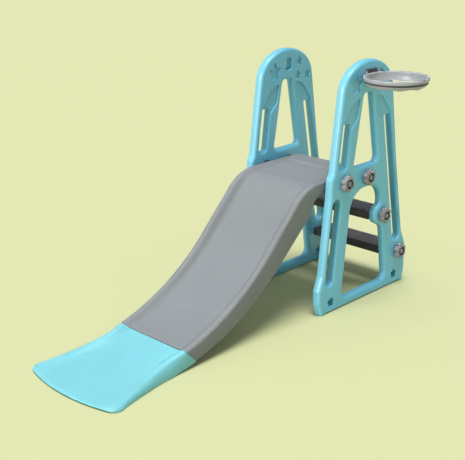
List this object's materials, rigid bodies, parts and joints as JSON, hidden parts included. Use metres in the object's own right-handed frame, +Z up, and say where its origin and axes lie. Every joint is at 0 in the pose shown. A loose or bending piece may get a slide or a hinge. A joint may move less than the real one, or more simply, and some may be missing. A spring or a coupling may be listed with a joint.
{
  "type": "toddler slide",
  "caption": "Freestanding toddler slide: A-shaped side panels, a curved chute with a flared run-out, rear climbing steps and a ball hoop hooked on one side.",
  "frame": {"origin": "bottom centre of the box round the whole object, on the floor", "axes": "+Z up; the chute runs down towards -Y and the climbing steps are at +Y; the hoop is on the +X side"},
  "size_m": [0.779, 1.763, 1.0498],
  "materials": {
    "panel_plastic": "teal blow-moulded polyethylene, satin with a fine grain",
    "run_out_plastic": "lighter teal blow-moulded polyethylene, satin",
    "chute_plastic": "mid-grey blow-moulded polyethylene, smooth sliding face with a fine grain",
    "step_plastic": "charcoal moulded plastic, ribbed tread",
    "fastener_plastic": "grey injection-moulded plastic",
    "hoop_plastic": "pale grey-lilac injection-moulded plastic",
    "screw_steel": "black coated steel"
  },
  "bodies": {
    "slide": {"left_panel": "panel_plastic", "right_panel": "panel_plastic", "chute": "chute_plastic", "run_out": "run_out_plastic", "upper_step": "step_plastic", "lower_step": "step_plastic", "platform_front_stud_left": "fastener_plastic", "platform_front_nut_left": "fastener_plastic", "platform_front_stud_right": "fastener_plastic", "platform_front_nut_right": "fastener_plastic", "platform_rear_stud_left": "fastener_plastic", "platform_rear_nut_left": "fastener_plastic", "platform_rear_stud_right": "fastener_plastic", "platform_rear_nut_right": "fastener_plastic", "upper_step_stud_left": "fastener_plastic", "upper_step_nut_left": "fastener_plastic", "upper_step_stud_right": "fastener_plastic", "upper_step_nut_right": "fastener_plastic", "lower_step_stud_left": "fastener_plastic", "lower_step_nut_left": "fastener_plastic", "lower_step_stud_right": "fastener_plastic", "lower_step_nut_right": "fastener_plastic", "run_out_screw_left": "screw_steel", "run_out_screw_right": "screw_steel"},
    "hoop": {"hoop": "hoop_plastic"}
  },
  "joints": [
    {"name": "hoop_lift", "type": "slide", "parent": "slide", "child": "hoop", "axis": [0, 0, 1], "range_m": [0, 0.02]}
  ]
}
